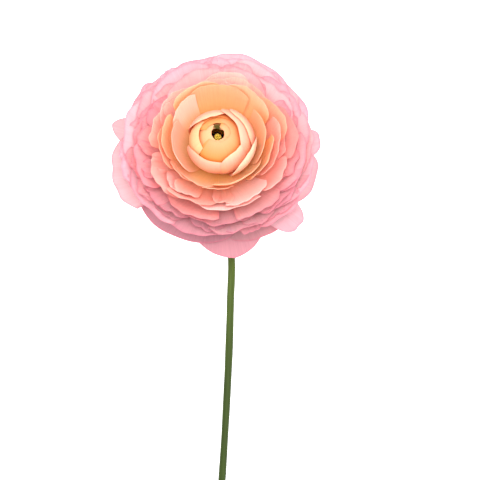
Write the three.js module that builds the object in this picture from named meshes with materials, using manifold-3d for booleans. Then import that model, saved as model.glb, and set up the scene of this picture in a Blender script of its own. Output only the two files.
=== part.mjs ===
// Ranunculus flower: one cut bloom lying face up on a flat surface.
// Millimetres, +Z up. The stem lies along -Y, its neck turns up under the bloom, and the bloom leans towards +Y.
// Every petal is a patch of a bowl turned round the bloom's axis. The bowls nest: closed over the heart, upright
// round it, and flatter and flatter towards the guard petals, which are pressed flat where the bloom rests.

import * as THREE from "three";
import { mergeVertices } from "three/addons/utils/BufferGeometryUtils.js";
import Module from "manifold-3d";

const wasm = await Module();
wasm.setup();

// ---- Driving dimensions ----
const BLOOM_LEAN = 20; // degrees between the bloom's axis and +Z
const FOOT_HEIGHT = 9.4; // from the surface to the foot of the receptacle
const STEM_RADIUS = 1.8;
const STEM_REACH = 185; // from the bloom's foot to the cut end, along Y
const STEM_BOW = 1.0; // how far the stem's middle lifts off the surface
const PETAL_THICKNESS = 0.65;
const SEPAL_THICKNESS = 0.9;
const SEPAL_LENGTH = 11;
const SEPAL_DROOP = 3.2; // how far a sepal's tip hangs below its root
const CLEARANCE = 0.3; // between pieces that touch on the plant

// The receptacle is a cone. Petals are rooted on this line round it, and each group of petals on its own ring.
const ROOT_TOP = 10.2;
const ROOT_TOP_RADIUS = 2.6;
const ROOT_FLARE = 0.4; // extra radius per mm down
const RING_INNER = 0.5; // how far a ring reaches inside the root line
const RING_OUTER = 0.5; // and outside it
const RING_SPAN = 0.3; // and past its first and last roots

// ---- Bowls: [rim radius, rim height, rim turn, root height, root turn] ----
// A bowl's profile is an elliptic arc. Turn is 0 where it runs flat outwards, 90 upright and 180 back over the top.
const BOWLS = [
  [3.0, 32.0, 157, 10.2, 20],
  [8.0, 30.2, 138.5, 9.6, 19],
  [9.6, 30.6, 136, 8.5, 18],
  [13.5, 28.9, 126, 8.0, 17],
  [15.5, 28.4, 114, 7.9, 17],
  [21.0, 27.4, 88, 6.6, 14],
  [25.2, 26.4, 78, 6.1, 11],
  [27.0, 26.0, 75, 5.1, 9],
  [34.4, 23.6, 61, 4.4, 6],
  [36.2, 22.6, 57, 3.4, 4],
  [46.0, 15.5, 42, 2.4, 2],
  [47.4, 12.6, 34, 1.3, 0],
  [53.0, 1.0, 17, 0.6, -5],
  [55.0, -0.6, 12, 0.2, -7],
];

// ---- Petals: [azimuth, half angle, rim radius, bowl, skew, point], listed from the inside out ----
// Azimuth 0 is +X and 90 is +Y. Skew makes the side at higher azimuth longer. Point sharpens the tip.
// bowl names the petal's bowl by its rim radius. Where it is 0 or left out, the petal takes the bowl of its own rim
// radius, or if it overlaps an earlier petal, one at least a step further out. span is the group's first and last
// bowl, and shoulders how far the rim drops towards a petal's sides.
const GROUPS = {
  petals_heart: {
    span: [3.0, 8.0],
    step: 1.0,
    shoulders: 0.025,
    petals: [
      [88, 66, 1.6, 3.0, 0, 0.2],
      [184, 68, 2.9, 3.8, -0.025],
      [8, 64, 2.9, 4.4, 0.02],
      [281, 66, 3.7, 5.1],
      [112, 50, 5.0, 5.8],
      [30, 52, 5.8, 6.5],
      [291, 66, 4.9, 7.2],
      [178, 46, 8.6, 8.0, -0.02],
      [98, 44, 8.4, 8.0],
    ],
  },
  petals_collar: {
    span: [9.6, 15.5],
    step: 0.8,
    shoulders: 0.12,
    petals: [
      [113, 45, 8.7, 9.8, -0.03, 0.2],
      [248, 54, 12.6, 9.7],
      [316, 40, 11.3, 10.5],
      [28, 55, 9.6, 11.2],
      [28, 40, 12.8, 13.2, 0.05],
      [329, 38, 16.5, 16.8, 0.02, 0.3],
    ],
  },
  petals_orange: {
    span: [21.0, 25.2],
    step: 1.4,
    shoulders: 0.11,
    petals: [
      [139, 22, 24.0, 22.6, -0.08],
      [190, 38, 21.2, 21.0],
      [5, 36, 21.8, 21.6],
      [300, 36, 23.0],
      [238, 29, 22.8],
      [88, 34, 25.2, 24.0],
      [52, 30, 25.8],
      [176, 26, 25.4],
      [336, 28, 25.4],
      [116, 28, 26.6],
    ],
  },
  petals_salmon: {
    span: [27.0, 34.4],
    step: 1.4,
    shoulders: 0.11,
    petals: [
      [185, 27, 27.0],
      [353, 32, 28.3],
      [138, 23, 30.5],
      [100, 22, 30.8],
      [28, 26, 31.5],
      [163, 20, 31.0],
      [60, 24, 32.0],
      [299, 22, 32.5],
      [250, 24, 32.5, 0, -0.2],
      [217, 20, 34.2],
      [330, 19, 34.0],
      [280, 26, 34.2],
      [84, 20, 34.2],
    ],
  },
  petals_pink: {
    span: [36.2, 46.0],
    step: 1.2,
    shoulders: 0.11,
    petals: [
      [14, 26, 35.8],
      [110, 26, 36.5],
      [249, 22, 37.8],
      [70, 22, 37.5],
      [303, 20, 39.0],
      [196, 21, 39.0],
      [345, 24, 40.0],
      [150, 27, 36.8],
      [270, 24, 39.3],
      [44, 25, 38.8],
      [174, 22, 38.8],
      [217, 23, 39.5],
      [322, 21, 39.6],
      [122, 26, 42.5],
      [54, 25, 44.0],
      [170, 22, 44.2],
      [4, 23, 43.6],
      [218, 24, 44.4],
      [288, 24, 43.0],
      [334, 24, 44.5],
      [86, 24, 44.6],
      [146, 24, 44.4],
      [196, 24, 43.8],
      [250, 25, 43.6],
      [27, 25, 43.0],
      [312, 20, 45.4],
    ],
  },
  petals_guard: {
    span: [47.4, 55.0],
    step: 1.5,
    shoulders: 0.14,
    petals: [
      [140, 22, 45.8],
      [192, 24, 50.0, 0, -0.01],
      [317, 13, 51.2, 0, 0, 0.45],
      [6, 13, 47.4, 0, 0, 0.4],
      [240, 42, 44.0, 0, -0.05],
      [299, 26, 44.2],
      [346, 18, 46.6],
      [160, 20, 54.2, 0, 0, 1.1],
      [279, 42, 50.0, 0, 0.03, 1.1],
      [66, 28, 53.0],
      [99, 21, 52.4],
      [43, 22, 50.0, 0, 0.06],
    ],
  },
};
const RESTING_BOWL = 54.5; // the bowl of the petals that lie on the surface
const NARROW = 25; // half angle under which a petal has one cell less across
const ACROSS = 5; // cells over a petal's width
const ALONG = 4; // and its length

// ---- Heart of the bloom ----
const CARPELS_RADIUS = 1.8;
const CARPELS_TOP = 28.0;
const BEAKS = 13; // pointed carpel tips on the head
const STAMENS = 10;
const STAMEN_THICKNESS = 0.7;
const STAMEN_FOOT = 12.2;
const STAMEN_TOP = 25.5;
const STAMEN_RING = [2.1, 3.0]; // inner and outer radius of the ring that they stand on
const SEPALS = 5;

const COLOURS = {
  stem: 0x66772c,
  sepals: 0x8a9a55,
  carpels: 0xc3b23c,
  stamens: 0x241a22,
  petals_heart: 0xf6cf8e,
  petals_collar: 0xf5bd9c,
  petals_orange: 0xf59a5e,
  petals_salmon: 0xf7a08c,
  petals_pink: 0xf3a8b4,
  petals_guard: 0xe9bcc8,
};

// ---- Small helpers ----
const radians = THREE.MathUtils.degToRad;
const { clamp, lerp, smoothstep } = THREE.MathUtils;

// A repeatable draw between -1 and 1 for one trait of one petal.
function draw(petal, trait) {
  const wave = Math.sin(petal * 12.9898 + trait * 78.233) * 43758.5453;
  return 2 * (wave - Math.floor(wave)) - 1;
}

// Degrees between two azimuths.
function apart(a, b) {
  return Math.abs(((((a - b) % 360) + 540) % 360) - 180);
}

// Radius of the root line at a height in the bloom.
function rootLine(height) {
  return ROOT_TOP_RADIUS + (ROOT_TOP - height) * ROOT_FLARE;
}

// The bowl with a rim radius, between the two rows of BOWLS that it lies between.
function bowlAt(rim) {
  const above = BOWLS.findIndex((row, i) => i > 0 && row[0] >= rim - 1e-9);
  const [low, high] = [BOWLS[above - 1], BOWLS[above]];
  const share = (rim - low[0]) / (high[0] - low[0]);
  const [radius, height, turn, rootHeight, rootTurn] = low.map((value, i) => lerp(value, high[i], share));
  const rootRadius = rootLine(rootHeight);
  const [start, end] = [radians(rootTurn), radians(turn)];
  return {
    rootRadius,
    rootHeight,
    start,
    closed: turn > 90,
    spread: (radius - rootRadius) / (Math.sin(end) - Math.sin(start)),
    rise: (height - rootHeight) / (Math.cos(start) - Math.cos(end)),
  };
}

// ---- Solids ----
function solidOf(geometry) {
  const bare = geometry.clone();
  bare.deleteAttribute("normal");
  bare.deleteAttribute("uv");
  const merged = mergeVertices(bare, 1e-4);
  return new wasm.Manifold(
    new wasm.Mesh({
      numProp: 3,
      vertProperties: new Float32Array(merged.attributes.position.array),
      triVerts: new Uint32Array(merged.index.array),
    }),
  );
}

function geometryOf(solid) {
  const mesh = solid.getMesh();
  const geometry = new THREE.BufferGeometry();
  geometry.setAttribute("position", new THREE.BufferAttribute(mesh.vertProperties, 3));
  geometry.setIndex(new THREE.BufferAttribute(mesh.triVerts, 1));
  geometry.computeVertexNormals();
  return geometry;
}

// Joins geometries into one. Where blades cross they can shut a pocket in, and that is filled.
function fuse(geometries) {
  const joined = geometries.map(solidOf).reduce((whole, piece) => whole.add(piece)).simplify(0.08);
  const outside = joined.decompose().filter((shell) => shell.volume() > 0);
  return geometryOf(outside.reduce((whole, piece) => whole.add(piece)));
}

// A closed blade over a grid of across by along cells. surface(u, v, side) gives the point on its inner face (side 1)
// or outer face (side -1), for u from -1 to 1 across and v from 0 at the root to 1 at the tip.
function blade(surface, across, along) {
  const points = [];
  for (const side of [1, -1]) {
    for (let j = 0; j <= along; j++) {
      for (let i = 0; i <= across; i++) points.push(surface((2 * i) / across - 1, (j / along) ** 0.8, side));
    }
  }
  const faceSize = (across + 1) * (along + 1);
  const at = (i, j, side) => (side > 0 ? 0 : faceSize) + j * (across + 1) + i;
  const triangles = [];
  const quad = (a, b, c, d) => triangles.push(a, b, c, a, c, d);
  for (let j = 0; j < along; j++) {
    for (let i = 0; i < across; i++) {
      triangles.push(at(i, j, 1), at(i + 1, j + 1, 1), at(i + 1, j, 1));
      triangles.push(at(i, j, 1), at(i, j + 1, 1), at(i + 1, j + 1, 1));
      quad(at(i, j, -1), at(i + 1, j, -1), at(i + 1, j + 1, -1), at(i, j + 1, -1));
    }
    quad(at(0, j, -1), at(0, j + 1, -1), at(0, j + 1, 1), at(0, j, 1));
    quad(at(across, j, 1), at(across, j + 1, 1), at(across, j + 1, -1), at(across, j, -1));
  }
  for (let i = 0; i < across; i++) {
    quad(at(i, 0, 1), at(i + 1, 0, 1), at(i + 1, 0, -1), at(i, 0, -1));
    quad(at(i, along, -1), at(i + 1, along, -1), at(i + 1, along, 1), at(i, along, 1));
  }
  const geometry = new THREE.BufferGeometry();
  geometry.setAttribute("position", new THREE.Float32BufferAttribute(points.flatMap((p) => p.toArray()), 3));
  geometry.setIndex(triangles);
  return geometry;
}

// Turns a profile of [radius, height] corners, counter-clockwise, round the bloom's axis.
function turned(profile, sides) {
  const points = profile.map(([radius, height]) => new THREE.Vector2(radius, height));
  return new THREE.LatheGeometry(points, sides).rotateX(Math.PI / 2);
}

// The ring that pieces of one group grow from.
function rootRing(low, high) {
  return turned(
    [
      [rootLine(low) - RING_INNER, low],
      [rootLine(low) + RING_OUTER, low],
      [rootLine(high) + RING_OUTER, high],
      [rootLine(high) - RING_INNER, high],
      [rootLine(low) - RING_INNER, low],
    ],
    24,
  );
}

// ---- The bloom's place: its foot is over the origin, and its axis leans towards +Y ----
const bloomTurn = new THREE.Quaternion().setFromAxisAngle(new THREE.Vector3(1, 0, 0), -radians(BLOOM_LEAN));
const bloomPlace = new THREE.Matrix4().compose(
  new THREE.Vector3(0, 0, FOOT_HEIGHT),
  bloomTurn,
  new THREE.Vector3(1, 1, 1),
);
const upInBloom = new THREE.Vector3(0, 0, 1).applyQuaternion(bloomTurn.clone().invert());

// Lifts a point of the bloom to at least a height over the surface, as a petal is pressed flat where it rests.
function pressed(point, height) {
  const over = point.dot(upInBloom) + FOOT_HEIGHT;
  return point.addScaledVector(upInBloom, Math.max(0, height - over));
}

// ---- Petals ----
// The bowl of each petal of a group, as a rim radius.
function bowlsOf({ span, step, petals }) {
  const bowls = [];
  for (const [azimuth, halfAngle, rimRadius, chosen = 0] of petals) {
    const under = bowls.filter((_, i) => apart(azimuth, petals[i][0]) < halfAngle + petals[i][1]);
    const bowl = Math.max(span[0], rimRadius, ...under.map((earlier) => earlier + step));
    bowls.push(chosen || Math.min(bowl, span[1]));
  }
  return bowls;
}

function petal([azimuth, halfAngle, rimRadius, , skew = 0, tip = 0], rim, shoulder, number) {
  const bowl = bowlAt(rim);
  const reach = Math.min(1, Math.sin(bowl.start) + (rimRadius - bowl.rootRadius) / bowl.spread);
  const end = bowl.closed ? Math.PI - Math.asin(reach) : Math.asin(reach);
  const open = smoothstep(rim, 13, 40); // 0 at the heart, 1 at the outer petals
  const cup = lerp(0.1, 0.7, open) + 0.4 * open * draw(number, 1); // how far the sides turn in
  const tilt = 0.6 * draw(number, 2) * (0.2 + open); // one side in and the other out
  const ruffle = 0.55 * open * (1 + 0.5 * draw(number, 3));
  const waves = 5 + 2 * draw(number, 4);
  const phase = Math.PI * draw(number, 5);
  const shoulders = shoulder * (1 + 0.3 * draw(number, 6)) + 0.35 * tip;
  const roundness = 3.6 - 2 * tip;
  const lean = skew + 0.08 * draw(number, 7) * (0.2 + 0.8 * open);
  const rest = clamp((RESTING_BOWL - rim) / 2, 0, 4); // petals further out lie under this one where the bloom rests

  return (u, v, side) => {
    const drop = shoulders * Math.abs(u) ** roundness * v * v;
    const turn = bowl.start + (end - bowl.start) * v * (1 - drop) * (1 + lean * u * v);
    const radius = bowl.rootRadius + bowl.spread * (Math.sin(turn) - Math.sin(bowl.start));
    const height = bowl.rootHeight + bowl.rise * (Math.cos(bowl.start) - Math.cos(turn));
    const run = bowl.spread * Math.cos(turn);
    const climb = bowl.rise * Math.sin(turn);
    const length = Math.hypot(run, climb);
    const wave = ruffle * Math.sin(waves * u + phase) * v ** 4;
    const bend = cup * (u * u - 0.3) * v + tilt * u * v + wave;
    const shift = bend + (side * PETAL_THICKNESS) / 2;
    const around = radians(azimuth + halfAngle * u);
    const out = radius - (climb / length) * shift;
    const point = new THREE.Vector3(out * Math.cos(around), out * Math.sin(around), height + (run / length) * shift);
    return pressed(point, rest + (side > 0 ? PETAL_THICKNESS : 0));
  };
}

function petalNodes() {
  return Object.entries(GROUPS).map(([name, group], g) => {
    const bowls = bowlsOf(group);
    const roots = bowls.map((rim) => bowlAt(rim).rootHeight);
    const ring = rootRing(Math.min(...roots) - RING_SPAN, Math.max(...roots) + RING_SPAN);
    const petals = group.petals.map((row, i) => {
      const across = row[1] < NARROW ? ACROSS - 1 : ACROSS;
      return blade(petal(row, bowls[i], group.shoulders, 30 * g + i + 1), across, ALONG);
    });
    return [name, fuse([ring, ...petals])];
  });
}

// ---- Sepals: small green blades that bend back under the guard petals ----
function sepals() {
  const height = -1.0;
  const start = rootLine(height);
  const path = new THREE.QuadraticBezierCurve(
    new THREE.Vector2(start, height),
    new THREE.Vector2(start + 0.6 * SEPAL_LENGTH, height),
    new THREE.Vector2(start + SEPAL_LENGTH, height - SEPAL_DROOP),
  );
  const sepal = (azimuth) => (u, v, side) => {
    const at = path.getPoint(v);
    const along = path.getTangent(v);
    const halfWidth = 4.2 * (1 - 0.55 * v * v) * (0.75 + 0.6 * v - 0.35 * v * v);
    const shift = (side * SEPAL_THICKNESS) / 2 + 0.5 * u * u * v;
    const around = radians(azimuth) + (halfWidth * u) / at.x;
    const out = at.x - along.y * shift - 1.2 * u * u * v;
    const point = new THREE.Vector3(out * Math.cos(around), out * Math.sin(around), at.y + along.x * shift);
    return pressed(point, CLEARANCE + (side > 0 ? SEPAL_THICKNESS : 0));
  };
  const blades = [];
  for (let i = 0; i < SEPALS; i++) blades.push(blade(sepal((360 * i) / SEPALS + 18), 4, 3));
  return fuse([rootRing(height - 0.6, height + RING_SPAN), ...blades]);
}

// ---- Carpels: a long head closely set with beaks ----
function carpels() {
  const foot = ROOT_TOP + RING_SPAN + CLEARANCE;
  const head = turned(
    [
      [0, foot],
      [1.3, foot],
      [1.7, foot + 2],
      [CARPELS_RADIUS, foot + 6],
      [CARPELS_RADIUS, CARPELS_TOP - 3],
      [0.75 * CARPELS_RADIUS, CARPELS_TOP - 1],
      [0, CARPELS_TOP],
    ],
    12,
  );
  const beaks = [];
  for (let i = 0; i < BEAKS; i++) {
    const share = (i + 0.5) / BEAKS;
    const around = i * 2.39996;
    const out = 1.6 * Math.sqrt(share);
    const beak = new THREE.ConeGeometry(0.5, 1.6, 5).rotateX(Math.PI / 2);
    beak.translate(out * Math.cos(around), out * Math.sin(around), CARPELS_TOP + 0.1 - 1.1 * share);
    beaks.push(beak);
  }
  return fuse([head, ...beaks]);
}

// ---- Stamens: filaments on a ring round the carpels, each with its anther ----
function stamens() {
  const [inner, outer] = STAMEN_RING;
  const middle = (inner + outer) / 2;
  const low = STAMEN_FOOT;
  const high = low + 0.9;
  const ring = turned([[inner, low], [outer, low], [outer, high], [inner, high], [inner, low]], 28);
  const pieces = [ring];
  for (let i = 0; i < STAMENS; i++) {
    const around = ((i + 0.3 * draw(i, 21)) / STAMENS) * 2 * Math.PI;
    const top = STAMEN_TOP - 0.9 + 0.9 * draw(i, 22);
    const out = middle + 0.55 + 0.35 * draw(i, 23);
    const length = top - low - 0.3;
    const filament = new THREE.CylinderGeometry(STAMEN_THICKNESS / 2, STAMEN_THICKNESS / 2, length, 4);
    filament.rotateX(Math.PI / 2).translate(0, 0, length / 2);
    filament.rotateY(Math.atan2(out - middle, length)).translate(middle, 0, low + 0.3);
    const anther = new THREE.OctahedronGeometry(1).scale(0.55, 0.6, 1.3).translate(out, 0, top);
    pieces.push(filament.rotateZ(around), anther.rotateZ(around));
  }
  return fuse(pieces);
}

// ---- Stem: the receptacle in the bloom, the bent neck under it, and the stalk along the surface ----
function stem() {
  const core = ROOT_TOP_RADIUS - RING_INNER - CLEARANCE; // radius of the receptacle's top
  const top = ROOT_TOP + RING_SPAN;
  const foot = -1.9;
  const receptacle = turned(
    [
      [0, foot - 1.2],
      [STEM_RADIUS, foot - 1.2],
      [rootLine(foot + 1) - RING_INNER - CLEARANCE, foot],
      [core + (ROOT_TOP - foot) * ROOT_FLARE - 0.4, foot + 0.3],
      [core - RING_SPAN * ROOT_FLARE, top],
      [0, top],
    ],
    24,
  ).applyMatrix4(bloomPlace);

  const axis = new THREE.Vector3(0, 0, 1).applyQuaternion(bloomTurn);
  const start = new THREE.Vector3(0, 0, FOOT_HEIGHT).addScaledVector(axis, foot);
  const bend = radians(90 - BLOOM_LEAN);
  const lying = STEM_RADIUS + 0.25; // height of the stem's middle line where the neck meets the surface
  const bendRadius = (start.z - lying) / (1 - Math.cos(bend));
  const points = [start.clone().addScaledVector(axis, 2), start];
  for (const share of [0.33, 0.66, 1]) {
    const left = bend * (1 - share);
    const y = start.y - bendRadius * (Math.sin(bend) - Math.sin(left));
    points.push(new THREE.Vector3(0.6 * share, y, lying + bendRadius * (1 - Math.cos(left))));
  }
  const bends = [[-28, 3.4], [-46, 6.0], [-66, 5.6], [-90, 4.9], [-112, 3.9], [-148, 1.8], [-STEM_REACH, -1.2]];
  for (const [y, x] of bends) {
    const lift = STEM_BOW * Math.sin((Math.PI * (y + 28)) / (28 - STEM_REACH));
    points.push(new THREE.Vector3(x, y, STEM_RADIUS + lift));
  }
  const line = new THREE.CatmullRomCurve3(points, false, "centripetal");
  const section = new THREE.Shape().absarc(0, 0, STEM_RADIUS, 0, 2 * Math.PI, false);
  const stalk = new THREE.ExtrudeGeometry(section, { extrudePath: line, steps: 28, curveSegments: 5 });
  return fuse([receptacle, stalk]);
}

// ---- Assembly ----
const part = new THREE.Group();

function addNode(name, geometry) {
  const material = new THREE.MeshStandardMaterial({ color: COLOURS[name], roughness: 0.6 });
  const mesh = new THREE.Mesh(geometry, material);
  mesh.name = name;
  part.add(mesh);
}

addNode("stem", stem());
addNode("sepals", sepals().applyMatrix4(bloomPlace));
addNode("carpels", carpels().applyMatrix4(bloomPlace));
addNode("stamens", stamens().applyMatrix4(bloomPlace));
for (const [name, geometry] of petalNodes()) addNode(name, geometry.applyMatrix4(bloomPlace));

// The part's origin is the middle of its footprint, on the surface.
const box = new THREE.Box3().setFromObject(part, true);
const middle = box.getCenter(new THREE.Vector3());
part.position.set(-middle.x, -middle.y, -box.min.z);

export default part;
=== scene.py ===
"""Dresses the ranunculus: fine pieces in place of the frame's solids, with floor, light and camera."""
import math

import bpy
import numpy as np
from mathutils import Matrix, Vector


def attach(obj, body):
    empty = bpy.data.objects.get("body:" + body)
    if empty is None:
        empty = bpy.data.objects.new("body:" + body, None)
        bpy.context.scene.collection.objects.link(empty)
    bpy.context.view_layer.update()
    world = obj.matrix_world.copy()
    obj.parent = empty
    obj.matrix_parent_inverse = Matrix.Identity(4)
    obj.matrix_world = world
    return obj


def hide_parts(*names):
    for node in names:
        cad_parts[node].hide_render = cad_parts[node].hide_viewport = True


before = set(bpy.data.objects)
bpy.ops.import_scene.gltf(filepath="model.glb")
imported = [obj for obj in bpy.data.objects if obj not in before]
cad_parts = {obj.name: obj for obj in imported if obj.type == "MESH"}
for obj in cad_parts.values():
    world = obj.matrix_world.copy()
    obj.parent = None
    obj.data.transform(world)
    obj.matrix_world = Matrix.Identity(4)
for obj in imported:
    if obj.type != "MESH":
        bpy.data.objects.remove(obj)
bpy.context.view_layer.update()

MM = 0.001  # shapes are worked out in millimetres

# ---- The bloom's place and its receptacle, as in the frame ----
LEAN = math.radians(20)  # between the bloom's axis and +Z, towards +Y
FOOT = np.array([1.841, 67.105, 9.4])
ROOT_TOP = 10.2  # petals are rooted on a cone round the receptacle, from this height down
ROOT_TOP_RADIUS = 2.6
ROOT_FLARE = 0.4  # extra radius per mm down
RECEPTACLE = [  # [radius, height] from its underside to its top
    [1.5, -3.1],
    [1.7, -2.9],
    [3.2, -2.3],
    [6.0, -1.75],
    [6.25, -1.3],
    [5.0, 1.8],
    [3.3, 6.0],
    [1.75, 10.2],
    [1.5, 10.45],
    [0.3, 10.5],
]

# ---- Petals, each a patch of a bowl turned round the bloom's axis ----
# Bowls: [rim radius, rim height, rim turn, root height, root turn]. Turn is 0 where the profile runs flat
# outwards, 90 where it is upright and 180 back over the top.
BOWLS = [
    [3.0, 32.0, 157, 10.2, 20],
    [8.0, 30.2, 138.5, 9.6, 19],
    [9.6, 30.6, 136, 8.5, 18],
    [13.5, 28.9, 126, 8.0, 17],
    [15.5, 28.4, 114, 7.9, 17],
    [21.0, 27.4, 88, 6.6, 14],
    [25.2, 26.4, 78, 6.1, 11],
    [27.0, 26.0, 75, 5.1, 9],
    [34.4, 23.6, 61, 4.4, 6],
    [36.2, 22.6, 57, 3.4, 4],
    [46.0, 15.5, 42, 2.4, 2],
    [47.4, 12.6, 34, 1.3, 0],
    [53.0, 1.0, 17, 0.6, -5],
    [55.0, -0.6, 12, 0.2, -7],
]

# The frame's petals: [azimuth, half angle, rim radius, bowl, skew, point], from the inside out. Azimuth 0 is
# +X and 90 is +Y. bowl names a petal's bowl by its rim radius, and is worked out where it is 0 or left out.
# span is the group's first and last bowl, step the least distance from the bowls of the petals that a petal
# overlaps, and shoulders how far the rim drops towards a petal's sides.
GROUPS = {
    "petals_heart": {
        "span": [3.0, 8.0],
        "step": 1.0,
        "shoulders": 0.025,
        "petals": [
            [88, 66, 1.6, 3.0, 0, 0.2],
            [184, 68, 2.9, 3.8, -0.025],
            [8, 64, 2.9, 4.4, 0.02],
            [281, 66, 3.7, 5.1],
            [112, 50, 5.0, 5.8],
            [30, 52, 5.8, 6.5],
            [291, 66, 4.9, 7.2],
            [178, 46, 8.6, 8.0, -0.02],
            [98, 44, 8.4, 8.0],
        ],
    },
    "petals_collar": {
        "span": [9.6, 15.5],
        "step": 0.8,
        "shoulders": 0.12,
        "petals": [
            [113, 45, 8.7, 9.8, -0.03, 0.2],
            [248, 54, 12.6, 9.7],
            [316, 40, 11.3, 10.5],
            [28, 55, 9.6, 11.2],
            [28, 40, 12.8, 13.2, 0.05],
            [329, 38, 16.5, 16.8, 0.02, 0.3],
        ],
    },
    "petals_orange": {
        "span": [21.0, 25.2],
        "step": 1.4,
        "shoulders": 0.11,
        "petals": [
            [139, 22, 24.0, 22.6, -0.08],
            [190, 38, 21.2, 21.0],
            [5, 36, 21.8, 21.6],
            [300, 36, 23.0],
            [238, 29, 22.8],
            [88, 34, 25.2, 24.0],
            [52, 30, 25.8],
            [176, 26, 25.4],
            [336, 28, 25.4],
            [116, 28, 26.6],
        ],
    },
    "petals_salmon": {
        "span": [27.0, 34.4],
        "step": 1.4,
        "shoulders": 0.11,
        "petals": [
            [185, 27, 27.0],
            [353, 32, 28.3],
            [138, 23, 30.5],
            [100, 22, 30.8],
            [28, 26, 31.5],
            [163, 20, 31.0],
            [60, 24, 32.0],
            [299, 22, 32.5],
            [250, 24, 32.5, 0, -0.2],
            [217, 20, 34.2],
            [330, 19, 34.0],
            [280, 26, 34.2],
            [84, 20, 34.2],
        ],
    },
    "petals_pink": {
        "span": [36.2, 46.0],
        "step": 1.2,
        "shoulders": 0.11,
        "petals": [
            [14, 26, 35.8],
            [110, 26, 36.5],
            [249, 22, 37.8],
            [70, 22, 37.5],
            [303, 20, 39.0],
            [196, 21, 39.0],
            [345, 24, 40.0],
            [150, 27, 36.8],
            [270, 24, 39.3],
            [44, 25, 38.8],
            [174, 22, 38.8],
            [217, 23, 39.5],
            [322, 21, 39.6],
            [122, 26, 42.5],
            [54, 25, 44.0],
            [170, 22, 44.2],
            [4, 23, 43.6],
            [218, 24, 44.4],
            [288, 24, 43.0],
            [334, 24, 44.5],
            [86, 24, 44.6],
            [146, 24, 44.4],
            [196, 24, 43.8],
            [250, 25, 43.6],
            [27, 25, 43.0],
            [312, 20, 45.4],
        ],
    },
    "petals_guard": {
        "span": [47.4, 55.0],
        "step": 1.5,
        "shoulders": 0.14,
        "petals": [
            [140, 22, 45.8],
            [192, 24, 50.0, 0, -0.01],
            [317, 13, 51.2, 0, 0, 0.45],
            [6, 13, 47.4, 0, 0, 0.4],
            [240, 42, 44.0, 0, -0.05],
            [299, 26, 44.2],
            [346, 18, 46.6],
            [160, 20, 54.2, 0, 0, 1.1],
            [279, 42, 50.0, 0, 0.03, 1.1],
            [66, 28, 53.0],
            [99, 21, 52.4],
            [43, 22, 50.0, 0, 0.06],
        ],
    },
}

# Smaller petals between the frame's: [rim radius, bowl, count, first azimuth, last azimuth, half angle]
BETWEEN = {
    "petals_orange": [
        [24.8, 25.0, 3, 210, 330, 15],
    ],
    "petals_salmon": [
        [28.6, 30.0, 5, -15, 165, 13],
        [31.6, 33.2, 6, -25, 205, 13],
        [29.4, 31.2, 3, 200, 290, 14],
    ],
    "petals_pink": [
        [36.6, 38.4, 9, -30, 215, 13],
        [39.6, 41.2, 12, -60, 250, 13],
        [42.0, 43.2, 15, 0, 335, 13],
        [44.6, 45.6, 12, 30, 200, 11],
        [43.6, 45.2, 5, 285, 350, 11],
    ],
    "petals_guard": [
        [48.4, 50.6, 8, 40, 150, 12],
    ],
}
NUMBERS_A_GROUP = 30  # a petal's number picks its draws
FIRST_BETWEEN = 1000  # number of the first of the smaller petals
RESTING_BOWL = 54.5  # the bowl of the petals that lie on the surface
HALF_THICKNESS = 0.14
SURFACE_GAP = 0.02  # between the surface and the lowest petals
RIM_THINNING = 0.6  # share of the thickness that is gone at the rim
GRID = (28, 30)  # cells across and along a petal
GRID_BETWEEN = (20, 22)  # and a smaller one

# ---- Stem ----
STEM_RADIUS = 1.8
STEM_REACH = 185  # from the bloom's foot to the cut end, along Y
STEM_BOW = 1.0  # how far the stalk's middle lifts off the surface
STEM_SIDES = 36
NECK_FOOT = -1.9  # height in the bloom where the neck leaves the receptacle
NECK_SWAY = 0.6  # how far the neck leans to +X by its end
STALK_START = 28  # where the stalk proper starts, as a distance from the bloom's foot
STALK_BENDS = [  # [Y, X] of its bends, from the bloom's foot
    [-STALK_START, 3.4],
    [-46, 6.0],
    [-66, 5.6],
    [-90, 4.9],
    [-112, 3.9],
    [-148, 1.8],
    [-STEM_REACH, -1.2],
]
# [radius, depth] of the cut end, where the wall turns in, and of the bore behind it
CUT_END = [[1.45, -0.05], [1.2, 0.0], [1.0, 0.5], [0.9, 3.0]]
CUT_RINGS = 3  # of them, how many show the pale inside

# ---- Sepals ----
SEPALS = 5
SEPAL_ROOT = -1.0  # height in the bloom
SEPAL_LENGTH = 11
SEPAL_DROOP = 3.2
SEPAL_HALF_WIDTH = 4.2  # before it narrows to its root and tip
SEPAL_THICKNESS = 0.5
SEPAL_REST = 0.62  # least height of a sepal over the surface
# [radius, height] of the ring that they grow from
SEPAL_RING = [[6.5, -1.6], [7.45, -1.6], [7.55, -1.2], [7.3, -0.75], [6.5, -0.75], [6.4, -1.2]]

# ---- Eye: the carpel head and the stamens round it ----
HEAD = [  # [radius, height] of the head from its foot to its top
    [0.4, 10.8],
    [1.25, 10.8],
    [1.45, 12.8],
    [1.6, 16.8],
    [1.6, 24.9],
    [1.25, 26.5],
    [0.7, 27.4],
    [0.15, 27.6],
]
LOBES = 46  # of the carpel head
LOBE_SIZE = (0.34, 0.34, 0.42)  # half axes, across and along
BEAK_SIZE = (0.1, 0.1, 0.22)
CROWN_HEIGHT = 26.05  # centre of the dome that the lobes stand on
CROWN_SIZE = (1.38, 1.38, 1.55)  # its half axes
GOLDEN_ANGLE = 2.39996
STAMENS = 30
STAMEN_RING = [[2.1, 12.2], [3.0, 12.2], [3.0, 13.0], [2.1, 13.0]]  # [radius, height]
STAMEN_FOOT = (2.55, 12.6)  # radius and height
STAMEN_TOP = (2.95, 24.3)
ANTHER_SIZE = (0.26, 0.36, 0.95)  # half axes: outwards, across and along

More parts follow.
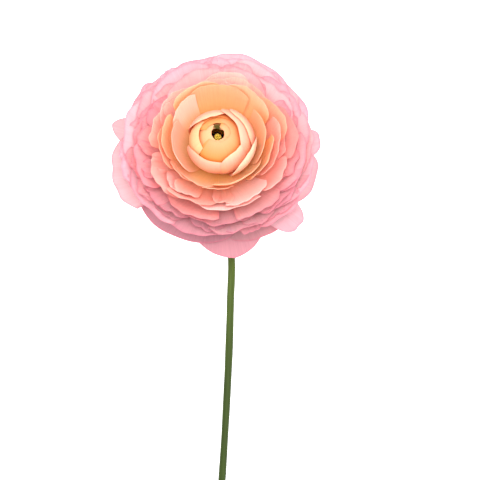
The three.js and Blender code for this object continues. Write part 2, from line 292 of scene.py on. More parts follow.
# ---- Colours, as sRGB bytes ----
# From a petal's root to its rim: deep in the bloom, half way up, the face that shows, and the very rim
# The deeper tone towards a root is partly the petals' own colour and partly painted shade of the bloom's
# hollows. The paler very rim of the heart, collar, orange and salmon petals is a painted highlight where the
# edge catches light, and the darker rim of the pink and guard petals is painted shade along the edge.
PALETTES = {
    "petals_heart": ((206, 132, 30), (234, 154, 56), (248, 167, 113), (251, 178, 131)),
    "petals_collar": ((250, 164, 90), (252, 180, 134), (251, 180, 154), (255, 202, 168)),
    "petals_orange": ((254, 190, 100), (255, 196, 126), (255, 198, 152), (255, 202, 168)),
    "petals_salmon": ((254, 170, 124), (253, 180, 154), (252, 186, 174), (254, 202, 190)),
    "petals_pink": ((250, 150, 136), (246, 166, 166), (239, 184, 190), (232, 166, 178)),
    "petals_guard": ((226, 152, 160), (230, 176, 186), (236, 194, 202), (222, 160, 178)),
}
PALETTE_STOPS = (0.35, 0.62, 0.88, 1.0)
# Petals tinted apart from their neighbours, by group and azimuth: tint and its share. Some tints are a
# petal's own hue, others painted light and painted shade, as marked.
PETAL_TINTS_AND_PAINTED_LIGHT = {
    ("petals_heart", 184): ((254, 204, 158), 0.4),
    ("petals_heart", 178): ((255, 212, 164), 0.7),
    # painted shade: the heart petals by the top of the eye are darker
    ("petals_heart", 112): ((234, 160, 84), 0.6),
    ("petals_heart", 98): ((226, 146, 72), 0.7),
    # painted light: the collar's outer petal is paler where it sits in shade
    ("petals_collar", 329): ((255, 222, 196), 0.9),
    ("petals_orange", 88): ((252, 184, 130), 0.5),
    # painted light: this steep orange petal is paler where it lies in shade
    ("petals_orange", 139): ((255, 224, 208), 0.9),
    ("petals_orange", 190): ((255, 200, 176), 0.6),
    ("petals_orange", 5): ((255, 200, 160), 0.5),
    # painted light: paler over the shaded hollows at the lower right
    ("petals_orange", 300): ((255, 206, 150), 0.6),
    ("petals_salmon", 185): ((255, 190, 112), 0.4),
    ("petals_salmon", 28): ((255, 184, 122), 0.4),
    ("petals_salmon", 299): ((255, 214, 206), 0.9),
    ("petals_salmon", 250): ((246, 164, 144), 0.6),
    ("petals_salmon", 217): ((248, 190, 178), 0.7),
    ("petals_salmon", 280): ((255, 214, 206), 0.8),
    ("petals_pink", 14): ((255, 160, 132), 0.4),
    ("petals_pink", 249): ((252, 160, 142), 0.4),
    ("petals_pink", 44): ((250, 206, 208), 0.5),
    ("petals_guard", 317): ((214, 176, 186), 0.8),
    # painted shade: the guard petals at the bottom are darker mauve
    ("petals_guard", 240): ((180, 139, 148), 0.85),
    ("petals_guard", 299): ((186, 138, 150), 0.8),
    ("petals_guard", 279): ((204, 154, 164), 0.9),
    ("petals_guard", 192): ((196, 172, 178), 0.85),
    ("petals_guard", 160): ((206, 150, 160), 0.7),
    ("petals_guard", 140): ((214, 158, 170), 0.6),
}
# Tints over a sector of the bloom, some of them painted light and painted shade, as marked: [azimuth, full
# within, gone from, from radius, to radius, tint, share]
SECTOR_TINTS_AND_PAINTED_LIGHT = [
    # painted light: the outer petals on the upper side are paler
    [112, 100, 118, 42, 60, (250, 210, 218), 0.25],
    # painted shade: the lower guard petals lie in shade, darker mauve
    [262, 25, 60, 39, 60, (190, 130, 144), 0.5],
    # painted light: the upper salmon and inner pink petals are paler
    [92, 25, 50, 33, 41, (252, 208, 202), 0.4],
    [178, 30, 55, 34, 43, (238, 144, 150), 0.4],
    [345, 20, 45, 30, 40, (252, 150, 150), 0.25],
]
REGION_FADE = 2.0  # mm on each side of a region's radii over which it comes and goes
OLIVE_SHADED_PETAL = ("petals_heart", 88)  # the petal over the eye, with an olive tip: partly its own green, partly painted shade of the dark hole beneath it
OLIVE = (72, 66, 6)
HUES = ((255, 190, 140), (246, 190, 198))  # each outer petal leans a little towards one of them
# painted shade: a darker pink along the rims and sides of the outer petals, where the thin petals overlap and
# turn edge-on
RIM_SHADE_LINE = (222, 118, 142)
LINED_FROM = 36  # rim radius from which petals have a darker line of painted shade along the rim and sides
STALK_GREENS = ((62, 77, 20), (40, 54, 8))  # under the bloom and further down
CUT_GREEN = (168, 176, 120)
RECEPTACLE_GREEN = (150, 160, 80)
SEPAL_GREENS = ((112, 128, 62), (176, 178, 120))  # in the middle and at the edge
SEPAL_RING_GREEN = (130, 146, 72)
HEAD_GREEN = (150, 128, 36)
LOBE_YELLOWS = ((190, 156, 40), (250, 220, 90))  # at its foot and at its tip
BEAK_YELLOW = (230, 196, 96)
STAMEN_RING_BROWN = (60, 50, 40)
FILAMENT_PURPLE = (48, 34, 44)
ANTHER_BLACK = (30, 20, 30)

# ---- Looks ----
PETAL_LOOKS = {  # share of light let through, roughness, sheen, gloss
    "petals_heart": (0.40, 0.5, 0.0, 0.08),
    "petals_collar": (0.35, 0.45, 0.15, 0.3),
    "petals_orange": (0.32, 0.5, 0.15, 0.3),
    "petals_salmon": (0.32, 0.5, 0.15, 0.3),
    "petals_pink": (0.32, 0.5, 0.15, 0.3),
    "petals_guard": (0.4, 0.55, 0.15, 0.3),
}
VEIN_SPREAD = 20  # half angle of a petal at which its veins are as wide as they are made


# ---- Small helpers ----
def srgb(colour):
    """The linear colour of sRGB bytes."""
    c = np.asarray(colour, float) / 255
    return np.where(c <= 0.04045, c / 12.92, ((c + 0.055) / 1.055) ** 2.4)


def smoothstep(x, low, high):
    t = np.clip((np.asarray(x, float) - low) / (high - low), 0, 1)
    return t * t * (3 - 2 * t)


def mix(a, b, share):
    return a + (b - a) * share


def mixed_in(colours, tint, share):
    """Colours with an sRGB tint mixed in, by one share or a share for each of them."""
    return mix(colours, srgb(tint), np.asarray(share)[..., None])


def toned(values, tones):
    """Colours between two sRGB tones, one for each value."""
    low, high = tones
    return mix(srgb(low), srgb(high), np.asarray(values)[:, None])


def draw(number, trait):
    """A repeatable draw between -1 and 1 for one trait of one petal or stamen."""
    wave = math.sin(number * 12.9898 + trait * 78.233) * 43758.5453
    return 2 * (wave - math.floor(wave)) - 1


def apart(a, b):
    """Degrees between two azimuths."""
    return abs((a - b + 540) % 360 - 180)


def root_line(height):
    """Radius of the root line at a height in the bloom."""
    return ROOT_TOP_RADIUS + (ROOT_TOP - height) * ROOT_FLARE


def to_world(points):
    """From the bloom's own axes to the frame, in millimetres."""
    c, s = math.cos(LEAN), math.sin(LEAN)
    x, y, z = points[..., 0], points[..., 1], points[..., 2]
    return np.stack([x, y * c + z * s, -y * s + z * c], axis=-1) + FOOT


def settle(points, floor):
    """Presses points that would lie under a height up to it, with a soft bend."""
    over = points[..., 2] - floor
    points[..., 2] = floor + 0.5 * (over + np.sqrt(over * over + 1))
    return points


# ---- Shapes, as points and faces ----
def full_turn(sides):
    return np.linspace(0, 2 * math.pi, sides, endpoint=False)


def circle(radius, height, sides):
    around = full_turn(sides)
    return np.stack([radius * np.cos(around), radius * np.sin(around), np.full(sides, height)], axis=-1)


def circle_across(centre, radius, side, up):
    """A circle, or a round with a radius for each point, in the plane of two directions."""
    around = full_turn(STEM_SIDES)
    return centre + np.outer(radius * np.cos(around), side) + np.outer(radius * np.sin(around), up)


def tube(rings):
    """Rings of the same number of points, joined one to the next and closed by the first and the last."""
    count = len(rings[0])
    faces = []
    for j in range(len(rings) - 1):
        for i in range(count):
            k = (i + 1) % count
            faces.append((j * count + i, j * count + k, (j + 1) * count + k, (j + 1) * count + i))
    last = (len(rings) - 1) * count
    faces.append(tuple(range(count))[::-1])
    faces.append(tuple(last + i for i in range(count)))
    return np.concatenate(rings), faces


def turned(profile, sides):
    """A solid turned from a profile that starts and ends near the axis."""
    return tube([circle(radius, height, sides) for radius, height in profile])


def hoop(profile, sides):
    """A ring turned from a closed profile that goes round counter-clockwise."""
    points = np.concatenate([circle(radius, height, sides) for radius, height in profile])
    faces = []
    for j in range(len(profile)):
        m = (j + 1) % len(profile)
        for i in range(sides):
            k = (i + 1) % sides
            faces.append((j * sides + i, j * sides + k, m * sides + k, m * sides + i))
    return points, faces


def ellipsoid(centre, axes, columns, rows):
    """A closed egg about a centre. axes are its three half axes, as vectors."""
    points = [centre - axes[2]]
    for j in range(1, rows):
        rise = math.pi * j / rows - math.pi / 2
        for i in range(columns):
            turn = 2 * math.pi * i / columns
            across = axes[0] * math.cos(rise) * math.cos(turn) + axes[1] * math.cos(rise) * math.sin(turn)
            points.append(centre + across + axes[2] * math.sin(rise))
    points.append(centre + axes[2])
    faces = []
    for i in range(columns):
        k = (i + 1) % columns
        faces.append((0, 1 + k, 1 + i))
        for j in range(rows - 2):
            a, b = 1 + j * columns, 1 + (j + 1) * columns
            faces.append((a + i, a + k, b + k, b + i))
        a = 1 + (rows - 2) * columns
        faces.append((a + i, a + k, len(points) - 1))
    return np.array(points), faces


def surface_normals(points):
    """Normals of a surface over a grid, on the side that is the upper one where it lies flat."""
    normal = np.cross(np.gradient(points, axis=0), np.gradient(points, axis=1))
    return normal / np.maximum(np.linalg.norm(normal, axis=-1, keepdims=True), 1e-9)


def thin_blade(points, thickness):
    """A closed thin solid round a middle surface over a grid. Its lower face's points come first."""
    rows, columns, _ = points.shape
    shift = surface_normals(points) * thickness[..., None] / 2
    count = rows * columns

    def lower(j, i):
        return j * columns + i

    def upper(j, i):
        return count + lower(j, i)

    faces = []
    for j in range(rows - 1):
        for i in range(columns - 1):
            faces.append((upper(j, i), upper(j + 1, i), upper(j + 1, i + 1), upper(j, i + 1)))
            faces.append((lower(j, i), lower(j, i + 1), lower(j + 1, i + 1), lower(j + 1, i)))
    edge = [(0, i) for i in range(columns)]
    edge += [(j, columns - 1) for j in range(1, rows)]
    edge += [(rows - 1, i) for i in range(columns - 2, -1, -1)]
    edge += [(j, 0) for j in range(rows - 2, 0, -1)]
    for here, there in zip(edge, edge[1:] + edge[:1]):
        faces.append((lower(*here), upper(*here), upper(*there), lower(*there)))
    return np.concatenate([(points - shift).reshape(-1, 3), (points + shift).reshape(-1, 3)]), faces


def joined(parts):
    """Joins parts. Each has its points, its faces and one or more values for its points, such as tints."""
    all_points, all_faces, *layers = zip(*parts)
    faces = []
    base = 0
    for points, part_faces in zip(all_points, all_faces):
        faces += [tuple(i + base for i in face) for face in part_faces]
        base += len(points)
    values = [
        np.concatenate([np.broadcast_to(value, (len(points), 3)) for value, points in zip(layer, all_points)])
        for layer in layers
    ]
    return np.concatenate(all_points), faces, *values


def add_mesh(name, points, faces, tint, place=None):
    """A smooth mesh with a tint at each point and, on petals, a place: across, along and petal's number."""
    mesh = bpy.data.meshes.new(name)
    mesh.from_pydata([tuple(p) for p in points * MM], [], faces)
    rgba = np.ones((len(tint), 4), np.float32)
    rgba[:, :3] = tint
    mesh.attributes.new("tint", "FLOAT_COLOR", "POINT").data.foreach_set("color", rgba.ravel())
    if place is not None:
        layer = mesh.attributes.new("place", "FLOAT_VECTOR", "POINT")
        layer.data.foreach_set("vector", place.astype(np.float32).ravel())
    mesh.polygons.foreach_set("use_smooth", [True] * len(mesh.polygons))
    mesh.set_sharp_from_angle(angle=math.radians(50))
    mesh.validate()
    mesh.update()
    piece = bpy.data.objects.new(name, mesh)
    bpy.context.scene.collection.objects.link(piece)
    return piece


# ---- Materials ----
def new_material(name):
    material = bpy.data.materials.new(name)
    material.use_nodes = True
    material.node_tree.nodes.clear()
    return material, material.node_tree


def node(tree, kind, values=None, **settings):
    """A shader node with its settings, and values on its inputs."""
    made = tree.nodes.new(kind)
    for key, value in settings.items():
        setattr(made, key, value)
    for key, value in (values or {}).items():
        made.inputs[key].default_value = value
    return made


def streaked(tree, where, stretch, noise, shades, relief):
    """The tint with streaks between two shades, and their relief, as the sockets of a colour and a normal.

    where is the socket of the streaks' coordinates, noise is their scale and detail, and relief the strength
    and the height of their relief.
    """
    link = tree.links.new
    tint = node(tree, "ShaderNodeAttribute", attribute_name="tint")
    stretched = node(tree, "ShaderNodeVectorMath", {1: stretch}, operation="MULTIPLY")
    streaks = node(tree, "ShaderNodeTexNoise", {"Scale": noise[0], "Detail": noise[1]})
    range_values = {"From Min": 0.3, "From Max": 0.7, "To Min": shades[0], "To Max": shades[1]}
    level = node(tree, "ShaderNodeMapRange", range_values)
    colour = node(tree, "ShaderNodeVectorMath", operation="SCALE")
    bump = node(tree, "ShaderNodeBump", {"Strength": relief[0], "Distance": relief[1]})
    link(where, stretched.inputs[0])
    link(stretched.outputs[0], streaks.inputs["Vector"])
    link(streaks.outputs["Fac"], level.inputs["Value"])
    link(tint.outputs["Color"], colour.inputs[0])
    link(level.outputs[0], colour.inputs["Scale"])
    link(streaks.outputs["Fac"], bump.inputs["Height"])
    return colour.outputs[0], bump.outputs[0]


def petal_material(name, translucency, roughness, sheen, gloss):
    """A satin blade that lets light through, with fine veins that run from the root to the rim."""
    material, tree = new_material(name)
    link = tree.links.new
    place = node(tree, "ShaderNodeAttribute", attribute_name="place")
    where, stretch = place.outputs["Vector"], (9.0, 0.9, 7.3)
    colour, normal = streaked(tree, where, stretch, (3.0, 3.0), (0.92, 1.03), (0.12, 0.0004))
    values = {
        "Roughness": roughness,
        "Specular IOR Level": gloss,
        "Sheen Weight": sheen,
        "Sheen Roughness": 0.5,
    }
    surface = node(tree, "ShaderNodeBsdfPrincipled", values)
    through = node(tree, "ShaderNodeBsdfTranslucent")
    both = node(tree, "ShaderNodeMixShader", {0: translucency})
    output = node(tree, "ShaderNodeOutputMaterial")
    link(colour, surface.inputs["Base Color"])
    link(normal, surface.inputs["Normal"])
    link(colour, through.inputs["Color"])
    link(surface.outputs[0], both.inputs[1])
    link(through.outputs[0], both.inputs[2])
    link(both.outputs[0], output.inputs["Surface"])
    return material


def solid_material(name, roughness, stretch):
    """A dull solid piece of the plant, with streaks."""
    material, tree = new_material(name)
    link = tree.links.new
    where = node(tree, "ShaderNodeTexCoord").outputs["Object"]
    colour, normal = streaked(tree, where, stretch, (1.0, 4.0), (0.75, 1.2), (0.4, 0.0002))
    surface = node(tree, "ShaderNodeBsdfPrincipled", {"Roughness": roughness, "Specular IOR Level": 0.15})
    output = node(tree, "ShaderNodeOutputMaterial")
    link(colour, surface.inputs["Base Color"])
    link(normal, surface.inputs["Normal"])
    link(surface.outputs[0], output.inputs["Surface"])
    return material


def dress(name, replaced, shape, material):
    """Adds a piece of the visual model in place of a node of the frame."""
    piece = add_mesh(name, *shape)
    piece.data.materials.append(material)
    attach(piece, "root")
    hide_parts(replaced)


# ---- Petals ----
def bowl_at(rim):
    """The bowl with a rim radius, between the two rows of BOWLS that it lies between."""
    above = next(i for i, row in enumerate(BOWLS) if i > 0 and row[0] >= rim - 1e-9)
    low, high = BOWLS[above - 1], BOWLS[above]
    share = (rim - low[0]) / (high[0] - low[0])
    radius, height, turn, root_height, root_turn = (mix(a, b, share) for a, b in zip(low, high))
    root_radius = root_line(root_height)
    start, end = math.radians(root_turn), math.radians(turn)
    return {
        "root_radius": root_radius,
        "root_height": root_height,
        "start": start,
        "closed": turn > 90,
        "spread": (radius - root_radius) / (math.sin(end) - math.sin(start)),
        "rise": (height - root_height) / (math.cos(start) - math.cos(end)),
    }


def bowls_of(group):
    """The bowl of each petal of a group, as a rim radius."""
    bowls = []
    rows = group["petals"]
    for azimuth, half, radius, *more in rows:
        under = [bowl for bowl, row in zip(bowls, rows) if apart(azimuth, row[0]) < half + row[1]]
        bowl = max([group["span"][0], radius] + [earlier + group["step"] for earlier in under])
        bowls.append(more[0] if more and more[0] else min(bowl, group["span"][1]))
    return bowls


def between_rows(name, first):
    """Rows of the smaller petals of a group, each drawn a little off its even spacing."""
    rows = []
    for radius, bowl, count, low, high, half in BETWEEN.get(name, []):
        for i in range(count):
            number = first + len(rows)
            azimuth = low + (high - low) * (i + 0.5 + 0.35 * draw(number, 51)) / count
            width = half + 3.5 * draw(number, 52)
            rim = radius + 0.9 * draw(number, 53)
            rows.append([azimuth, width, rim, bowl + 0.7 * draw(number, 54), 0.05 * draw(number, 55), 0.1])
    return rows


def petal_points(row, rim, shoulder, number, grid):
    """A petal's middle surface over a grid of cells across and along, with u and v at its points.

    u runs from -1 to 1 across the petal and v from 0 at its root to 1 at its tip.
    """
    azimuth, half, radius, _, skew, tip = (row + [0, 0, 0])[:6]
    bowl = bowl_at(rim)
    reach = min(1.0, math.sin(bowl["start"]) + (radius - bowl["root_radius"]) / bowl["spread"])
    end = math.pi - math.asin(reach) if bowl["closed"] else math.asin(reach)
    openness = float(smoothstep(rim, 13, 40))  # 0 at the heart, 1 at the outer petals
    cup = mix(0.1, 0.7, openness) + 0.4 * openness * draw(number, 1)  # how far the sides turn in
    tilt = 0.6 * draw(number, 2) * (0.2 + openness)  # one side in and the other out
    ruffle = 0.55 * openness * (1 + 0.5 * draw(number, 3))
    waves = 5 + 2 * draw(number, 4)
    phase = math.pi * draw(number, 5)
    shoulders = shoulder * (1 + 0.3 * draw(number, 6)) + 0.35 * tip
    roundness = 3.6 - 2 * tip
    lean = skew + 0.08 * draw(number, 7) * (0.2 + 0.8 * openness)
    # Where the bloom rests, petals further out lie under this one
    rest = min(4.0, max(0.0, (RESTING_BOWL - rim) / 2))

    u, v = np.meshgrid(np.linspace(-1, 1, grid[0] + 1), np.linspace(0, 1, grid[1] + 1) ** 0.8)
    # The rim drops towards the petal's sides, with a small dip near its middle and fine scallops
    dip = np.exp(-(((u - 0.3 * draw(number, 9)) / 0.16) ** 2))
    notch = (0.010 + 0.010 * draw(number, 8)) * openness * dip
    scallop = 0.004 * (0.4 + openness) * np.sin((9 + 3 * draw(number, 10)) * u + 3 * draw(number, 11))
    drop = (shoulders * np.abs(u) ** roundness + notch + scallop) * v * v
    turn = bowl["start"] + (end - bowl["start"]) * v * (1 - drop) * (1 + lean * u * v)
    out = bowl["root_radius"] + bowl["spread"] * (np.sin(turn) - math.sin(bowl["start"]))
    height = bowl["root_height"] + bowl["rise"] * (math.cos(bowl["start"]) - np.cos(turn))
    run, climb = bowl["spread"] * np.cos(turn), bowl["rise"] * np.sin(turn)
    length = np.hypot(run, climb)
    # Off the bowl: its bend across, fine waves near the rim, and the rim curled back
    bend = cup * (u * u - 0.3) * v + tilt * u * v + ruffle * np.sin(waves * u + phase) * v**4
    crinkle = np.sin((13 + 3 * draw(number, 12)) * u + 6 * draw(number, 13) + 3 * v)
    fine = 0.2 * (0.2 + openness) * crinkle * v**6
    curl = -0.35 * openness * smoothstep(v, 0.82, 1.0) * (0.6 + 0.4 * draw(number, 14))
    shift = bend + fine + curl
    around = np.radians(azimuth + half * u)
    ring = out - climb / length * shift
    points = np.stack([ring * np.cos(around), ring * np.sin(around), height + run / length * shift], axis=-1)
    return settle(to_world(points), rest + HALF_THICKNESS + SURFACE_GAP), u, v


def petal_colour(row, name, number, u, v):
    """A petal's colour over its grid, with a hue of its own and with painted light and shade."""
    azimuth, _, radius = row[:3]
    sides = smoothstep(np.abs(u), 0.6, 1.0) * (1 + draw(number, 32))
    along = v + 0.05 * draw(number, 31) - 0.08 * sides
    # root to rim: the deeper root partly painted shade, the rim a painted highlight on inner petals and
    # painted shade on outer ones
    table = srgb(PALETTES[name])
    colour = np.stack([np.interp(along, PALETTE_STOPS, table[:, k]) for k in range(3)], axis=-1)
    # olive tip of the petal over the eye: its own green, with painted shade of the dark hole beneath it
    if (name, azimuth) == OLIVE_SHADED_PETAL:
        olive_shade_mask = smoothstep(v, 0.72, 0.93) * (1 - smoothstep(np.abs(u - 0.05), 0.3, 0.95))
        colour = mixed_in(colour, OLIVE, 0.97 * olive_shade_mask)
    # single petals' tints, some of them painted light and painted shade
    if (name, azimuth) in PETAL_TINTS_AND_PAINTED_LIGHT:
        tint, share = PETAL_TINTS_AND_PAINTED_LIGHT[name, azimuth]
        colour = mixed_in(colour, tint, share * smoothstep(v, 0.3, 0.8))
    if name not in ("petals_heart", "petals_collar"):
        hue = draw(number, 34)
        colour = mixed_in(colour, HUES[0] if hue > 0 else HUES[1], 0.16 * abs(hue))
    face = smoothstep(v, 0.4, 0.8)
    # sector tints, some of them painted light and painted shade
    for middle, near, far, inner, outer, tint, share in SECTOR_TINTS_AND_PAINTED_LIGHT:
        beside = 1 - smoothstep(apart(azimuth, middle), near, far)
        past_inner = smoothstep(radius, inner - REGION_FADE, inner + REGION_FADE)
        past_outer = smoothstep(radius, outer - REGION_FADE, outer + REGION_FADE)
        colour = mixed_in(colour, tint, share * beside * past_inner * (1 - past_outer) * face)
    # painted shade along the rim and the sides of the outer petals
    if radius > LINED_FROM:
        line = smoothstep(v, 0.975, 0.995) + smoothstep(np.abs(u), 0.95, 1.0) * face
        colour = mixed_in(colour, RIM_SHADE_LINE, 0.45 * np.minimum(line, 1))
    return colour.reshape(-1, 3)


def build_petals(name, first):
    """All petals of a group. first is added to their numbers."""
    group = GROUPS[name]
    rows = zip(group["petals"], bowls_of(group))
    petals = [(first + k + 1, row, bowl, GRID) for k, (row, bowl) in enumerate(rows)]
    extra = FIRST_BETWEEN + 5 * first
    petals += [(extra + k, row, row[3], GRID_BETWEEN) for k, row in enumerate(between_rows(name, extra))]
    parts = []
    for number, row, bowl, grid in petals:
        points, u, v = petal_points(row, bowl, group["shoulders"], number, grid)
        rim = np.maximum(smoothstep(np.abs(u), 0.8, 1.0), smoothstep(v, 0.85, 1.0))
        blade_points, faces = thin_blade(points, 2 * HALF_THICKNESS * (1 - RIM_THINNING * rim))
        colour = petal_colour(row, name, number, u, v)
        place = np.stack([u * row[1] / VEIN_SPREAD, v, np.full_like(u, number)], axis=-1).reshape(-1, 3)
        parts.append((blade_points, faces, np.tile(colour, (2, 1)), np.tile(place, (2, 1))))
    return joined(parts)


# ---- Stem: neck, stalk, cut end and receptacle ----
def stem_line():
    """Points every half millimetre or so along the stem's middle line, as in the frame's stem."""
    axis = np.array([0, math.sin(LEAN), math.cos(LEAN)])
    start = np.array([0, 0, FOOT[2]]) + axis * NECK_FOOT
    bend = math.pi / 2 - LEAN
    lying = STEM_RADIUS + 0.25  # height of the middle line where the neck meets the surface
    bend_radius = (start[2] - lying) / (1 - math.cos(bend))
    knots = [start + 2 * axis, start]
    for share in (0.33, 0.66, 1.0):
        left = bend * (1 - share)
        y = start[1] - bend_radius * (math.sin(bend) - math.sin(left))
        knots.append(np.array([NECK_SWAY * share, y, lying + bend_radius * (1 - math.cos(left))]))
    for y, x in STALK_BENDS:
        lift = STEM_BOW * math.sin(math.pi * (y + STALK_START) / (STALK_START - STEM_REACH))
        knots.append(np.array([x, y, STEM_RADIUS + lift]))
    knots = [2 * knots[0] - knots[1]] + knots + [2 * knots[-1] - knots[-2]]
    line = []
    # A centripetal Catmull-Rom curve through the knots
    for x0, x1, x2, x3 in zip(knots, knots[1:], knots[2:], knots[3:]):
        d0, d1, d2 = (math.sqrt(np.linalg.norm(b - a)) for a, b in ((x0, x1), (x1, x2), (x2, x3)))
        t1 = ((x1 - x0) / d0 - (x2 - x0) / (d0 + d1) + (x2 - x1) / d1) * d1
        t2 = ((x2 - x1) / d1 - (x3 - x1) / (d1 + d2) + (x3 - x2) / d2) * d1
        for t in np.linspace(0, 1, max(4, int(np.linalg.norm(x2 - x1) / 0.6)), endpoint=False):
            a, b = 2 * t**3 - 3 * t**2 + 1, t**3 - 2 * t**2 + t
            c, d = -2 * t**3 + 3 * t**2, t**3 - t**2
            line.append(a * x1 + b * t1 + c * x2 + d * t2)
    line.append(knots[-2])
    return np.array(line) + [FOOT[0], FOOT[1], 0]


def frames_along(line):
    """For each point of a line, its direction and the two directions across it, which don't twist."""
    tangents = np.gradient(line, axis=0)
    tangents /= np.linalg.norm(tangents, axis=1, keepdims=True)
    side = np.array([1.0, 0, 0])
    frames = []
    for tangent in tangents:
        side = side - tangent * side.dot(tangent)
        side /= np.linalg.norm(side)
        frames.append((tangent, side, np.cross(tangent, side)))
    return frames


def build_stem():
    line = stem_line()
    frames = frames_along(line)
    around = full_turn(STEM_SIDES)
    rings = []
    for j, (point, (_, side, up)) in enumerate(zip(line, frames)):
        ribs = 0.045 * np.cos(9 * around + 0.015 * j) + 0.02 * np.cos(5 * around + 1.3)
        swell = 1 + 0.03 * math.sin(j * 0.05) + 0.02 * math.sin(j * 0.13 + 1)
        rings.append(circle_across(point, STEM_RADIUS * (0.95 + ribs) * swell, side, up))
    tangent, side, up = frames[-1]
    for radius, depth in CUT_END:
        rings.append(circle_across(line[-1] - tangent * depth, radius, side, up))
    points, faces = tube(rings)
    along = np.minimum(np.arange(len(rings)) / len(line), 1)
    tint = toned(smoothstep(np.repeat(along, STEM_SIDES), 0.2, 0.6), STALK_GREENS)
    tint[-CUT_RINGS * STEM_SIDES :] = srgb(CUT_GREEN)
    cone, cone_faces = turned(RECEPTACLE, 40)
    return joined([(points, faces, tint), (to_world(cone), cone_faces, srgb(RECEPTACLE_GREEN))])


# ---- Sepals: bent back under the guard petals ----
def curve(a, b, c, t):
    """A bend from a over b to c, and its slope."""
    return (1 - t) ** 2 * a + 2 * t * (1 - t) * b + t * t * c, 2 * (1 - t) * (b - a) + 2 * t * (c - b)


def build_sepal(azimuth, number):
    start = root_line(SEPAL_ROOT)
    u, v = np.meshgrid(np.linspace(-1, 1, 19), np.linspace(0, 1, 25))
    x, dx = curve(start, start + 0.6 * SEPAL_LENGTH, start + SEPAL_LENGTH, v)
    y, dy = curve(SEPAL_ROOT, SEPAL_ROOT, SEPAL_ROOT - SEPAL_DROOP, v)
    length = np.hypot(dx, dy)
    half_width = SEPAL_HALF_WIDTH * (1 - 0.55 * v * v) * (0.75 + 0.6 * v - 0.35 * v * v)
    shift = 0.5 * u * u * v + 0.12 * np.sin(7 * u + number) * v**2
    around = math.radians(azimuth) + half_width * u / x
    out = x - dy / length * shift - 1.6 * u * u * v
    points = np.stack([out * np.cos(around), out * np.sin(around), y + dx / length * shift], axis=-1)
    points = settle(to_world(points), SEPAL_REST)
    rim = np.maximum(smoothstep(np.abs(u), 0.7, 1.0), smoothstep(v, 0.8, 1.0))
    blade_points, faces = thin_blade(points, SEPAL_THICKNESS * (1 - RIM_THINNING * rim))
    pale = np.maximum(smoothstep(np.abs(u), 0.6, 1.0), smoothstep(v, 0.75, 1.0)).reshape(-1)
    return blade_points, faces, np.tile(toned(pale, SEPAL_GREENS), (2, 1))


def build_sepals():
    ring, ring_faces = hoop(SEPAL_RING, 48)
    parts = [(to_world(ring), ring_faces, srgb(SEPAL_RING_GREEN))]
    for i in range(SEPALS):
        parts.append(build_sepal(360 / SEPALS * i + 18, i))
    return joined(parts)


# ---- Eye ----
def build_carpels():
    """A long head closely set with small lobes, each with its beak."""
    head, head_faces = turned(HEAD, 24)
    parts = [(head, head_faces, srgb(HEAD_GREEN))]
    for i in range(LOBES):
        share = (i + 0.5) / LOBES
        tilt = min(1.9 * math.sqrt(share), 1.5)
        drop = max(0.0, share - 0.45) * 7.5  # the outer lobes stand down the head's side
        turn = i * GOLDEN_ANGLE
        across, up = math.sin(tilt), math.cos(tilt)
        direction = np.array([across * math.cos(turn), across * math.sin(turn), up])
        centre = np.array([0, 0, CROWN_HEIGHT - drop]) + direction * CROWN_SIZE
        side = np.cross(direction, [0, 0, 1.0] if abs(direction[2]) < 0.95 else [1.0, 0, 0])
        side /= np.linalg.norm(side)
        axes = np.array([side, np.cross(direction, side), direction])
        lobe, lobe_faces = ellipsoid(centre, axes * np.array(LOBE_SIZE)[:, None], 9, 6)
        bright = smoothstep(lobe @ direction - centre @ direction, -0.2, 0.4)
        parts.append((lobe, lobe_faces, toned(bright, LOBE_YELLOWS)))
        beak, beak_faces = ellipsoid(centre + direction * 0.4, axes * np.array(BEAK_SIZE)[:, None], 6, 4)
        parts.append((beak, beak_faces, srgb(BEAK_YELLOW)))
    points, faces, tint = joined(parts)
    return to_world(points), faces, tint


def build_stamens():
    """Filaments on a ring, each with its anther."""
    ring, ring_faces = hoop(STAMEN_RING, 40)
    parts = [(ring, ring_faces, srgb(STAMEN_RING_BROWN))]
    for i in range(STAMENS):
        turn = (i + 0.35 * draw(i, 41)) / STAMENS * 2 * math.pi
        outward = np.array([math.cos(turn), math.sin(turn), 0])
        foot = np.array([STAMEN_FOOT[0] * math.cos(turn), STAMEN_FOOT[0] * math.sin(turn), STAMEN_FOOT[1]])
        out = STAMEN_TOP[0] + 0.35 * draw(i, 43)
        height = STAMEN_TOP[1] + 1.2 * draw(i, 42)
        top = np.array([out * math.cos(turn + 0.1), out * math.sin(turn + 0.1), height])
        rings = []
        for t in np.linspace(0, 1, 7):
            centre = mix(foot, top, t) + outward * 0.3 * math.sin(math.pi * t)
            rings.append(centre + circle(0.16 - 0.05 * t, 0, 6))
        filament, filament_faces = tube(rings)
        parts.append((filament, filament_faces, srgb(FILAMENT_PURPLE)))
        across = np.array([-math.sin(turn), math.cos(turn), 0])
        along = np.array([0, 0, 1.0]) + 0.25 * outward * draw(i, 44)
        axes = [outward * ANTHER_SIZE[0], across * ANTHER_SIZE[1], along * ANTHER_SIZE[2]]
        anther, anther_faces = ellipsoid(top, axes, 10, 7)
        parts.append((anther, anther_faces, srgb(ANTHER_BLACK)))
    points, faces, tint = joined(parts)
    return to_world(points), faces, tint


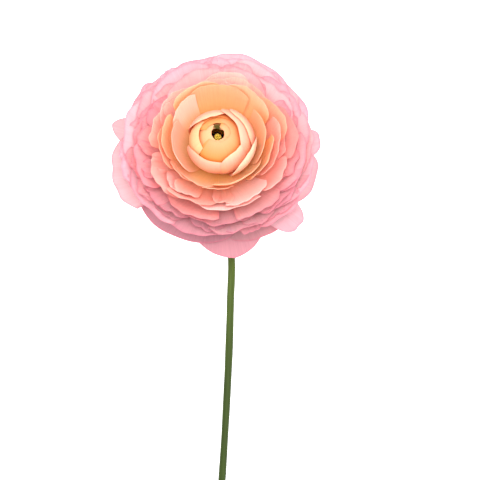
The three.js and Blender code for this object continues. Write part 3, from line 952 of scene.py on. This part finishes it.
# ---- The pieces ----
for g, group_name in enumerate(GROUPS):
    piece_name = group_name.replace("petals_", "") + "_petals"
    shape = build_petals(group_name, NUMBERS_A_GROUP * g)
    dress(piece_name, group_name, shape, petal_material(group_name + "_look", *PETAL_LOOKS[group_name]))
SOLIDS = {  # how each is built, its roughness, and how closely its streaks lie along X, Y and Z
    "stem": (build_stem, 0.5, (900, 45, 900)),
    "sepals": (build_sepals, 0.6, (500, 500, 500)),
    "carpels": (build_carpels, 0.4, (1500, 1500, 1500)),
    "stamens": (build_stamens, 0.6, (1500, 1500, 1500)),
}
for solid_name, (build, roughness, stretch) in SOLIDS.items():
    dress(solid_name + "_fine", solid_name, build(), solid_material(solid_name + "_look", roughness, stretch))

# ---- Floor, light and camera, in metres ----
FLOOR_HALF = 3
CAMERA_HEIGHT = 0.925
CAMERA_OFFSET = (0.0101, -0.0377)  # from the bloom's foot
SENSOR = 36.0
VIEW_DISTANCE = 0.9
VIEW_WIDTH = 480 * 0.00046  # what the frame spans at that distance

corners = [(-1, -1), (1, -1), (1, 1), (-1, 1)]
floor_mesh = bpy.data.meshes.new("floor")
floor_mesh.from_pydata([(FLOOR_HALF * x, FLOOR_HALF * y, 0) for x, y in corners], [], [(0, 1, 2, 3)])
floor = bpy.data.objects.new("floor", floor_mesh)
bpy.context.scene.collection.objects.link(floor)
floor_material, floor_tree = new_material("floor_look")
floor_values = {
    "Base Color": (0.86, 0.86, 0.86, 1),
    "Roughness": 0.9,
    "Emission Color": (1, 1, 1, 1),
    "Emission Strength": 0.55,
}
floor_surface = node(floor_tree, "ShaderNodeBsdfPrincipled", floor_values)
floor_output = node(floor_tree, "ShaderNodeOutputMaterial")
floor_tree.links.new(floor_surface.outputs[0], floor_output.inputs["Surface"])
floor.data.materials.append(floor_material)

world = bpy.data.worlds.new("studio")
bpy.context.scene.world = world
world.use_nodes = True
background = world.node_tree.nodes["Background"]
background.inputs["Color"].default_value = (1, 1, 1, 1)
background.inputs["Strength"].default_value = 1.9


def area_light(name, place, target, size, power):
    """A square light that faces a target."""
    data = bpy.data.lights.new(name, "AREA")
    data.size = size
    data.energy = power
    lamp = bpy.data.objects.new(name, data)
    lamp.location = place
    lamp.rotation_euler = (Vector(target) - Vector(place)).to_track_quat("-Z", "Y").to_euler()
    bpy.context.scene.collection.objects.link(lamp)


area_light("key", place=(0.16, 0.2, 1.15), target=(0, 0.05, 0), size=1.1, power=7.5)
area_light("top", place=(-0.06, 0.12, 1.2), target=(0, 0.06, 0), size=0.3, power=5.0)

camera_data = bpy.data.cameras.new("camera")
camera = bpy.data.objects.new("camera", camera_data)
bpy.context.scene.collection.objects.link(camera)
camera.location = (FOOT[0] * MM + CAMERA_OFFSET[0], FOOT[1] * MM + CAMERA_OFFSET[1], CAMERA_HEIGHT)
camera_data.sensor_width = SENSOR
camera_data.lens = SENSOR * VIEW_DISTANCE / VIEW_WIDTH
camera_data.clip_end = 20
bpy.context.scene.camera = camera
bpy.context.scene.view_settings.view_transform = "Standard"
